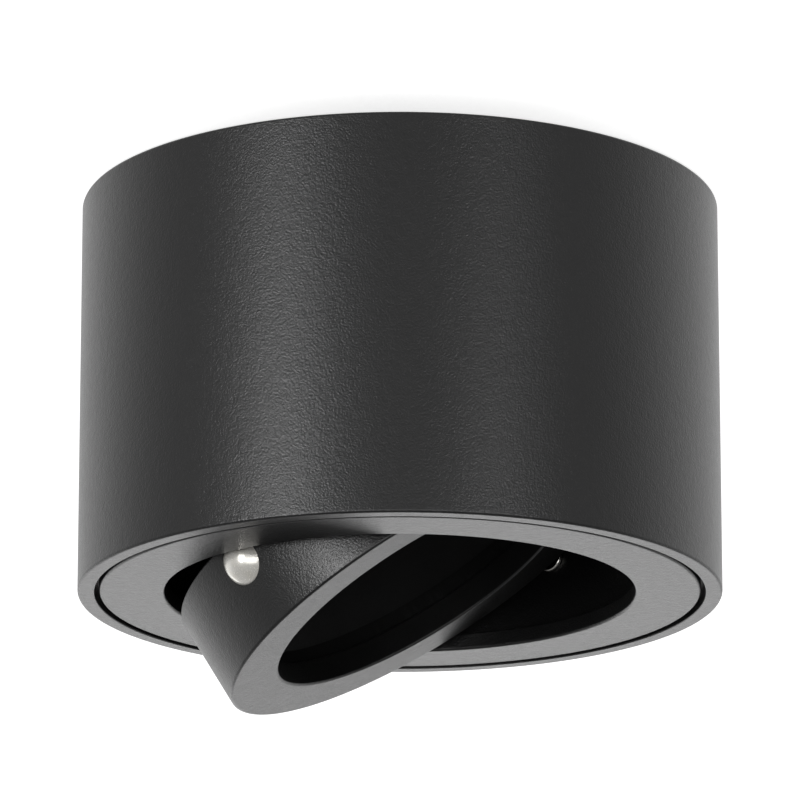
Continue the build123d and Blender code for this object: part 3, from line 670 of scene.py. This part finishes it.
def paint_finishes(finish):
    """A finish for each slot of the record, and one of their own for the clip rivets."""
    powder_coat(finish)
    frosted_glass("frosted")
    plated_metal(
        "zinc_plate", (0.52, 0.53, 0.55), (0.60, 0.61, 0.63),
        roughness=0.34, spangle=4 * MM, brush=(1, 14, 1), specks=0.002 * MM)
    plated_metal(
        "spring_steel", (0.36, 0.36, 0.37), (0.55, 0.55, 0.56),
        roughness=0.28, spangle=3 * MM, brush=(1, 1, 12))
    plated_metal(
        "bright_rivet", (0.88, 0.85, 0.78), (0.94, 0.92, 0.87), roughness=0.22, spangle=1.5 * MM, metal=0.6)
    plated_metal("clip_rivet", (0.70, 0.68, 0.64), (0.84, 0.82, 0.78), roughness=0.16, spangle=1.5 * MM)
    plated_metal("screw_steel", (0.45, 0.44, 0.42), (0.66, 0.65, 0.63), roughness=0.30, spangle=2 * MM)
    plated_metal(
        "brass", (0.62, 0.45, 0.20), (0.78, 0.60, 0.30), roughness=0.27, spangle=2 * MM, brush=(12, 1, 12))
    plated_metal("reflector_bright", grey(0.84), grey(0.93), roughness=0.12, spangle=6 * MM)
    plated_metal(
        "sink_aluminium", (0.50, 0.51, 0.52), (0.68, 0.69, 0.70),
        roughness=0.38, spangle=2.5 * MM, brush=(1, 1, 10), specks=0.002 * MM)
    moulded_plastic(
        "rubber_black", grey(0.010), grey(0.019), roughness=0.68, grain=0.25 * MM, depth=0.010 * MM)
    moulded_plastic(
        "terminal_plastic", (0.66, 0.65, 0.60), (0.74, 0.73, 0.68),
        roughness=0.42, grain=0.4 * MM, depth=0.006 * MM, Subsurface_Weight=0.1)
    moulded_plastic(
        "clamp_plastic", (0.60, 0.60, 0.59), (0.70, 0.70, 0.69),
        roughness=0.40, grain=0.4 * MM, depth=0.006 * MM, Subsurface_Weight=0.1)
    moulded_plastic(
        "nylon", (0.70, 0.69, 0.64), (0.80, 0.79, 0.74),
        roughness=0.36, grain=0.5 * MM, depth=0.004 * MM, Subsurface_Weight=0.15)
    moulded_plastic(
        "black_plastic", grey(0.002), grey(0.003), roughness=0.6, grain=0.3 * MM, depth=0.006 * MM, IOR=1.25)
    moulded_plastic(
        "board_white", (0.70, 0.71, 0.70), (0.80, 0.81, 0.80),
        roughness=0.33, grain=0.6 * MM, depth=0.003 * MM)
    moulded_plastic(
        "pad_grey", (0.28, 0.29, 0.31), (0.36, 0.37, 0.39), roughness=0.75, grain=0.3 * MM, depth=0.010 * MM)
    moulded_plastic(
        "phosphor", (0.80, 0.62, 0.12), (0.88, 0.70, 0.16), roughness=0.50, grain=0.2 * MM, depth=0.004 * MM)


# ---------------------------------------------------------------- pieces
class SpotPiece:
    bl_options = {"REGISTER", "UNDO"}

    @classmethod
    def poll(cls, context):
        return context.scene is not None


class SPOT_OT_finishes(SpotPiece, bpy.types.Operator):
    """Make the materials, one for each finish of the spotlight"""

    bl_idname = "spot.finishes"
    bl_label = "Finishes"

    def execute(self, context):
        paint_finishes(context.scene.spot_finish)
        missing = [m["slot"] for m in frame["record"]["materials"] if not bpy.data.materials.get(m["slot"])]
        if missing:
            raise RuntimeError(f"no finish was made for {missing}")
        return {"FINISHED"}


class SPOT_OT_drum(SpotPiece, bpy.types.Operator):
    """Turn the drum: wall, rounded rim, seat rib, screw lugs and swivel stop"""

    bl_idname = "spot.drum"
    bl_label = "Drum"

    def execute(self, context):
        s = context.scene
        d, trim, fast = s.spot_drum, s.spot_trim, s.spot_fasteners
        outer = d.width / 2
        bore = outer - d.wall
        rib = bore - d.rib_depth
        trim_top = RIM + trim.recess + trim.plate
        rib_low = trim_top + PLAY
        rib_high = rib_low + d.rib_height
        small = 0.15 * MM
        shell = lathe("drum_wall", [
            (bore, 0, small), (outer, 0, d.edge), (outer, RIM, d.edge), (bore, RIM, small),
            (bore, rib_low, 0), (rib, rib_low, small), (rib, rib_high, small), (bore, rib_high, 0)])

        turns = [Matrix.Rotation(FIRST_LUG + i * math.tau / d.lugs, 4, "Z") for i in range(d.lugs)]
        tip, reach = bore - d.lug_reach, bore + d.wall / 2
        low, high, half = -d.plate - d.lug_height, -d.plate, d.lug_width / 2
        tools = joins(block("lug", turn, (tip, -half, low), (reach, half, high), small) for turn in turns)
        holes = [turn @ Matrix.Translation((tip + LUG_SCREW, 0, 0)) for turn in turns]
        tools += cuts(rod("lug_hole", hole, fast.screw_hole, low - OVER, high + OVER) for hole in holes)

        stop_low, half = trim_top + trim.collar_height - STOP_DROP, d.stop_width / 2
        stop = (-reach, -half, stop_low), (-DRUM_STOP_RADIUS, half, stop_low + STOP_HEIGHT)
        tools += joins([block("stop", UPRIGHT, *stop)])
        dress(carve(shell, tools), "drum", "black_coat", "drum_shell")
        return {"FINISHED"}


class SPOT_OT_trim(SpotPiece, bpy.types.Operator):
    """Turn the trim ring: plate, collar with its stop lip, pivot bosses, clip pads and swivel stop"""

    bl_idname = "spot.trim"
    bl_label = "Trim ring"

    def execute(self, context):
        s = context.scene
        d, t, h, fast = s.spot_drum, s.spot_trim, s.spot_head, s.spot_fasteners
        bore = d.width / 2 - d.wall
        plate, opening = bore - t.gap, t.opening / 2
        collar = opening + t.set_back
        out = collar + t.collar_wall
        face = RIM + t.recess
        low = face + t.plate
        top = low + t.collar_height
        small = 0.12 * MM
        ring = lathe("trim_plate", [
            (opening, face, d.edge), (plate, face, d.edge), (plate, low, small), (out, low, 0),
            (out, top, small), (t.lip_reach, top, small), (t.lip_reach, top - t.lip, 0),
            (collar, top - t.lip - collar + t.lip_reach, 0), (collar, low, 0), (opening, low, small)])

        washers, pivot_bore = 1.1 * MM, 2.05 * MM
        boss_in = opening - h.gap - WASHER_SEAT_DEPTH + washers
        boss_out = out + 0.6 * MM
        axis = Matrix.Translation((0, 0, RIM + h.pivot_rise))
        pivots = [spoke(axis, turn, 0, 0) for turn in PIVOT_TURNS]
        clips = clip_places(t, 0)
        pad = out + CLIP_PAD
        half_w, half_h = (t.clip_width + 1 * MM) / 2, fast.tail + 1.2 * MM
        pad_box = (-half_w, -half_h, collar + t.collar_wall / 2), (half_w, half_h, pad)
        tools = joins(rod("boss", p, fast.pivot_boss, boss_in, boss_out) for p in pivots)
        tools += joins(block("pad", p, *pad_box, small) for p in clips)
        tools += cuts(rod("bore", p, pivot_bore, boss_in - OVER, boss_out + OVER) for p in pivots)
        for p in clips:
            tools += cuts([
                rod("spot_face", p, fast.flat + SEAT_PLAY, collar - OVER, collar + SEAT_DEPTH),
                rod("hole", p, fast.rivet + PLAY, collar - OVER, pad + OVER)])

        stop_low, half = top - STOP_DROP, t.stop_width / 2
        stop_in, stop_out = out - 0.5 * MM, bore - d.rib_depth - 0.6 * MM
        stop = (stop_in, -half, stop_low), (stop_out, half, stop_low + STOP_HEIGHT)
        tools += joins([block("stop", UPRIGHT, *stop)])
        dress(carve(ring, tools), "trim", "black_coat", "trim_ring")
        return {"FINISHED"}


class SPOT_OT_head(SpotPiece, bpy.types.Operator):
    """Turn the tilting head: face with its lip, skirt, pivot bosses and the seats of the yoke rivets"""

    bl_idname = "spot.head"
    bl_label = "Tilting head"

    def execute(self, context):
        s = context.scene
        t, h, fast, edge = s.spot_trim, s.spot_head, s.spot_fasteners, s.spot_drum.edge
        head = t.opening / 2 - h.gap
        skirt, lip = head - h.skirt, h.lip / 2
        face = -h.pivot_rise
        back, lip_back = face + h.height, face + h.lip_height
        small = 0.12 * MM
        place = head_place(s)
        ring = lathe("head_bezel", [
            (lip, face, edge), (head, face, edge), (head, back, edge), (skirt, back, small),
            (skirt, lip_back, 0), (lip, lip_back, small)], place, pitch=HEAD_RING_PITCH)

        boss_in, yoke_pad, middle = lip + 2.7 * MM, skirt - YOKE_PAD, skirt + h.skirt / 2
        washer_seat, pivot_hole, pad = 4.4 * MM, 1.55 * MM, fast.tail + 0.9 * MM
        pivots = [spoke(place, turn, 0, 0) for turn in PIVOT_TURNS]
        yokes = yoke_places(s, 0)
        tools = joins(rod("boss", p, fast.pivot_boss, boss_in, middle) for p in pivots)
        tools += joins(rod("pad", p, pad, yoke_pad, middle) for p in yokes)
        for p in pivots:
            tools += cuts([
                rod("seat", p, washer_seat, head - WASHER_SEAT_DEPTH, head + 2 * OVER),
                rod("hole", p, pivot_hole, boss_in - OVER, head + OVER)])
        for p in yokes:
            tools += cuts([
                rod("seat", p, fast.dome + SEAT_PLAY, head - SEAT_DEPTH, head + 2 * OVER),
                rod("hole", p, fast.rivet + PLAY, yoke_pad - OVER, head + OVER)])
        ring = carve(ring, tools)
        dress(ring, "head", "black_coat", "head_ring")

        # the mouth of the head is dull black, so that no light shows around the cone
        ring.data.materials.append(bpy.data.materials["black_plastic"])
        inward = place.inverted()
        bore = lip + 0.02 * MM
        for facet in ring.data.polygons:
            if (inward @ facet.center).to_2d().length < bore:
                facet.material_index = 1
        return {"FINISHED"}


def rivet_shaft(fast, grip, head):
    """The outline of a rivet from its set tail to the edge of its head."""
    tail_end, tail_rim, under_head = -grip - fast.tail_height, fast.tail * 0.8, head - 0.1 * MM
    return plain(
        (0, tail_end), (tail_rim, tail_end), (fast.tail, -grip),
        (fast.rivet, -grip), (fast.rivet, 0), (under_head, 0))


def dome_rivet(fast, grip):
    """A dome headed rivet about +Z, with its seat at zero."""
    rings = 15
    ball = (fast.dome**2 + fast.dome_height**2) / (2 * fast.dome_height)
    foot = math.acos(fast.dome / ball)
    rise = [foot + (math.pi / 2 - foot) * i / rings for i in range(rings)]
    dome = [(ball * math.cos(a), fast.dome_height - ball + ball * math.sin(a)) for a in rise]
    outline = rivet_shaft(fast, grip, fast.dome) + plain(*dome, (0, fast.dome_height))
    return lathe("dome_rivet", outline, turns=96)


def flat_rivet(fast, grip):
    """A flat headed rivet with a rounded rim about +Z, with its seat at zero."""
    head = [(fast.flat, 0, 0), (fast.flat, fast.flat_height, fast.flat_round), (0, fast.flat_height, 0)]
    return lathe("flat_rivet", rivet_shaft(fast, grip, fast.flat) + head, turns=96)


class SPOT_OT_rivets(SpotPiece, bpy.types.Operator):
    """Set the dome headed rivets of the yoke strap and the flat headed ones of the snap clips"""

    bl_idname = "spot.rivets"
    bl_label = "Rivets"

    def execute(self, context):
        s = context.scene
        t, h, fast = s.spot_trim, s.spot_head, s.spot_fasteners
        tree = fastener_tree()
        strap, clip = 1.1 * MM, 0.6 * MM

        head = t.opening / 2 - h.gap
        seat = head - SEAT_DEPTH
        grip = seat - (head - h.skirt - YOKE_PAD) + strap
        places = yoke_places(s, seat)
        made = set_fasteners(tree, "yoke_rivet_domes", dome_rivet(fast, grip), places, "bright_rivet", 3)
        dress(made, "head", "bright_rivet", "yoke_rivets")

        collar = t.opening / 2 + t.set_back
        seat = collar + SEAT_DEPTH
        grip = collar + t.collar_wall + CLIP_PAD + clip - seat
        flip = Matrix.Rotation(math.pi, 4, "X")
        places = [place @ flip for place in clip_places(t, seat)]
        made = set_fasteners(tree, "clip_rivet_heads", flat_rivet(fast, grip), places, "bright_rivet", 5)
        dress(made, "trim", "bright_rivet", "clip_rivets")
        made.data.materials[0] = bpy.data.materials["clip_rivet"]
        return {"FINISHED"}


class SPOT_OT_optics(SpotPiece, bpy.types.Operator):
    """Turn the stepped anti glare cone and the frosted lens behind it"""

    bl_idname = "spot.optics"
    bl_label = "Glare cone and lens"

    def execute(self, context):
        s = context.scene
        self.cone(s.spot_head, s.spot_engine, head_place(s))
        self.glass(s.spot_head, s.spot_engine, head_place(s))
        return {"FINISHED"}

    @staticmethod
    def cone(h, e, place):
        face = -h.pivot_rise
        lip, lens, lip_back = h.lip / 2, e.lens / 2, face + h.lip_height
        flange_low = lip_back + PLAY
        flange_high, flange = flange_low + 1.5 * MM, lip + 2.4 * MM
        mouth, tube = lip + 0.8 * MM, lens + 3.4 * MM
        shade, board = face + e.shade, face + e.board
        top, seat, foot = shade - PLAY, lens - 1 * MM, board - PLAY

        first = lip_back + 2.5 * MM
        rise, shrink = (top - first) / e.steps, (mouth - seat) / e.steps
        # each step's face leans over the first 0.55 of its rise, then runs straight
        lean = 0.55
        steps = [(mouth, flange_low, 0.1 * MM), (mouth, first, 0)]
        for i in range(e.steps):
            radius = mouth - (i + 1) * shrink
            steps.append((radius, first + (i + lean) * rise, 0.12 * MM))
            steps.append((radius, first + (i + 1) * rise, 0))
        neck, neck_high = mouth + 1.2 * MM, lip_back + 3 * MM
        outside = plain(
            (flange, flange_low), (flange, flange_high), (neck, flange_high), (neck, neck_high),
            (tube, top - 2 * MM), (tube, foot), (lens + PLAY, foot), (lens + PLAY, top))
        cone = lathe("glare_cone", outside + steps[::-1], place, turns=256, steps=3)

        at, boss, pilot, grip = e.sink / 2 - 2.3 * MM, 2.1 * MM, 1.05 * MM, 6 * MM
        turns = [math.pi / e.fins + i * math.tau / ENGINE_SCREWS for i in range(ENGINE_SCREWS)]
        spots = [place @ Matrix.Translation((at * math.cos(a), at * math.sin(a), 0)) for a in turns]
        clear_low, clear_high, clear_top = flange_low - OVER, top - 1.5 * MM, seat + 1.6 * MM
        clear = plain(
            (0, clear_low), (mouth, clear_low), (mouth, first), (clear_top, clear_high), (0, clear_high))
        tools = joins(rod("boss", p, boss, top - grip, foot) for p in spots)
        tools += cuts([lathe("clear", clear, place, turns=256)])
        tools += cuts(rod("pilot", p, pilot, board - grip, board + OVER) for p in spots)
        dress(carve(cone, tools), "head", "black_plastic", "glare_baffle")

    @staticmethod
    def glass(h, e, place):
        back, rim = e.shade - h.pivot_rise, e.lens / 2 - PLAY
        flank, bulge = back + 0.9 * MM, 0.6 * MM
        angles = [i * math.pi / 32 for i in range(1, 16)]
        crown = plain(*((rim * math.cos(a), flank + bulge * math.sin(a)) for a in angles))
        outline = [(0, back, 0), (rim, back, 0.2 * MM), (rim, flank, 0), *crown, (0, flank + bulge, 0)]
        dress(lathe("front_lens", outline, place, turns=192, steps=4), "head", "frosted", "lens")


class SPOT_OT_heat_sink(SpotPiece, bpy.types.Operator):
    """Grow the radial heat sink on the back of the light board"""

    bl_idname = "spot.heat_sink"
    bl_label = "Heat sink"

    def execute(self, context):
        s = context.scene
        h, e = s.spot_head, s.spot_engine
        low = Matrix.Translation((0, 0, -h.pivot_rise + e.board + BOARD_STACK))
        carrier = bpy.data.meshes.new("heat_sink_start")
        carrier.from_pydata([(0, 0, 0)], [], [])
        values = {
            "Fins": e.fins,
            "Fin thickness": e.fin,
            "Radius": e.sink / 2,
            "Core radius": e.core / 2,
            "Base height": e.base,
            "Fin height": e.sink_depth - e.board - BOARD_STACK - e.base,
            "Finish": bpy.data.materials["sink_aluminium"],
        }
        sink = grow(sink_tree(), "cooling_fins", carrier, values, head_place(s) @ low)
        dress(sink, "head", "sink_aluminium", "heat_sink")
        return {"FINISHED"}


class SPOT_OT_stage(SpotPiece, bpy.types.Operator):
    """Set the stage: a white ceiling, a white room, four soft boxes and the camera"""

    bl_idname = "spot.stage"
    bl_label = "Stage"

    def execute(self, context):
        scene, studio = context.scene, context.scene.spot_studio
        self.ceiling()
        self.room(scene, studio)
        for name, place, width, height, setting in SOFT_BOXES:
            self.soft_box(name, Vector(place), width, height, getattr(studio, setting))
        camera = bpy.data.cameras.new("photo_view")
        camera.lens, camera.sensor_width = studio.lens, SENSOR_WIDTH
        camera.clip_start, camera.clip_end = CLIP_START, CLIP_END
        view = bpy.data.objects.new("photo_view", camera)
        scene.collection.objects.link(view)
        view.location = studio.camera
        view.rotation_euler = Vector(studio.aim).to_track_quat("-Z", "Y").to_euler()
        scene.camera = view
        scene.view_settings.view_transform = "Standard"
        return {"FINISHED"}

    @staticmethod
    def ceiling():
        """A ceiling that only a camera below it sees, so that it hides nothing from above."""
        bm = bmesh.new()
        bmesh.ops.create_grid(bm, x_segments=1, y_segments=1, size=CEILING_HALF_WIDTH)
        bmesh.ops.translate(bm, verts=bm.verts, vec=(0, 0, CEILING_GAP))
        bmesh.ops.reverse_faces(bm, faces=bm.faces)
        mesh = bpy.data.meshes.new("ceiling")
        bm.to_mesh(mesh)
        bm.free()
        plane = bpy.data.objects.new("ceiling", mesh)
        bpy.context.scene.collection.objects.link(plane)

        p = Paint("ceiling_paint", grey(CEILING_GREY), 0, 0.9)
        dark, light = grey(CEILING_GREY - CEILING_CLOUD), grey(CEILING_GREY + CEILING_CLOUD)
        p.tint(p.noise(40 * MM, 2.0), dark, light)
        # painted shadow: the glow is dimmed where ambient occlusion, felt for towards the back, finds the
        # drum, so the painted shadow lies before the drum's near edge
        back = p.node("ShaderNodeCombineXYZ", {"X": -0.2, "Y": 1.0}).outputs[0]
        openness = p.node("ShaderNodeAmbientOcclusion", {"Distance": PAINTED_SHADOW_REACH, "Normal": back}, samples=16)
        strength = p.ramp(openness.outputs["AO"], *PAINTED_SHADOW_GLOW, *PAINTED_SHADOW_OPEN)
        # the ceiling's glow, with the painted shadow in its strength
        glow = p.node("ShaderNodeEmission", {"Strength": strength})
        both = p.node("ShaderNodeAddShader", {0: p.shader.outputs[0], 1: glow.outputs[0]})
        camera_ray = p.node("ShaderNodeLightPath").outputs["Is Camera Ray"]
        behind = p.node("ShaderNodeNewGeometry").outputs["Backfacing"]
        seen = p.math("MULTIPLY", camera_ray, p.math("SUBTRACT", 1.0, behind))
        clear = p.node("ShaderNodeBsdfTransparent")
        mix = p.node("ShaderNodeMixShader", {0: seen, 1: clear.outputs[0], 2: both.outputs[0]})
        p.links.new(mix.outputs[0], p.end.inputs["Surface"])
        mesh.materials.append(p.material)

    @staticmethod
    def room(scene, studio):
        """White to the camera. The object sees a pale backdrop and a dimmer room before it and below it."""
        world = scene.world or bpy.data.worlds.new("room")
        scene.world = world
        world.use_nodes = True
        tree = world.node_tree
        tree.nodes.clear()

        def rise(value, span, low, high):
            links = {"Value": value, "From Min": span[0], "From Max": span[1], "To Min": low, "To Max": high}
            return add_node(tree, "ShaderNodeMapRange", links, interpolation_type="SMOOTHSTEP").outputs[0]

        def calculate(way, a, b):
            return add_node(tree, "ShaderNodeMath", {0: a, 1: b}, operation=way).outputs[0]

        way = add_node(tree, "ShaderNodeTexCoord").outputs["Generated"]
        split = add_node(tree, "ShaderNodeSeparateXYZ", {0: way}).outputs
        depth = rise(split["Y"], ROOM_DEPTH, studio.near, studio.far)
        floor = rise(split["Z"], ROOM_HEIGHT, studio.under, 1.0)
        level = calculate("MULTIPLY", depth, floor)
        ray = add_node(tree, "ShaderNodeLightPath").outputs
        clear = calculate("MAXIMUM", ray["Is Camera Ray"], ray["Is Transmission Ray"])
        light = add_node(tree, "ShaderNodeMix", {"Factor": clear, "A": level, "B": 1.0}, data_type="FLOAT")
        sky = add_node(tree, "ShaderNodeBackground", {"Color": (1, 1, 1, 1), "Strength": light.outputs[0]})
        end = add_node(tree, "ShaderNodeOutputWorld")
        tree.links.new(sky.outputs[0], end.inputs["Surface"])

    @staticmethod
    def soft_box(name, place, width, height, energy):
        light = bpy.data.lights.new(name, "AREA")
        light.shape, light.size, light.size_y, light.energy = "RECTANGLE", width, height, energy
        lamp = bpy.data.objects.new(name, light)
        bpy.context.scene.collection.objects.link(lamp)
        lamp.location = place
        lamp.rotation_euler = (LIT_POINT - place).to_track_quat("-Z", "Y").to_euler()


class SPOT_PT_panel(bpy.types.Panel):
    bl_label = "Ceiling Spotlight"
    bl_idname = "SPOT_PT_panel"
    bl_space_type = "VIEW_3D"
    bl_region_type = "UI"
    bl_category = "Spotlight"

    def draw(self, context):
        for name in SETTINGS:
            box = self.layout.box()
            group = getattr(context.scene, name)
            for key in group.__annotations__:
                box.prop(group, key)
        for step in STEPS:
            self.layout.operator(step.bl_idname)


STEPS = (
    SPOT_OT_finishes, SPOT_OT_drum, SPOT_OT_trim, SPOT_OT_head, SPOT_OT_rivets, SPOT_OT_optics,
    SPOT_OT_heat_sink, SPOT_OT_stage,
)


def register():
    for cls in (*SETTINGS.values(), *STEPS, SPOT_PT_panel):
        bpy.utils.register_class(cls)
    for name, cls in SETTINGS.items():
        setattr(bpy.types.Scene, name, PointerProperty(type=cls))


def unregister():
    for name in SETTINGS:
        delattr(bpy.types.Scene, name)
    for cls in reversed((*SETTINGS.values(), *STEPS, SPOT_PT_panel)):
        bpy.utils.unregister_class(cls)


def main():
    register()
    for step in STEPS:
        group, name = step.bl_idname.split(".")
        getattr(getattr(bpy.ops, group), name)()


if __name__ == "__main__":
    main()
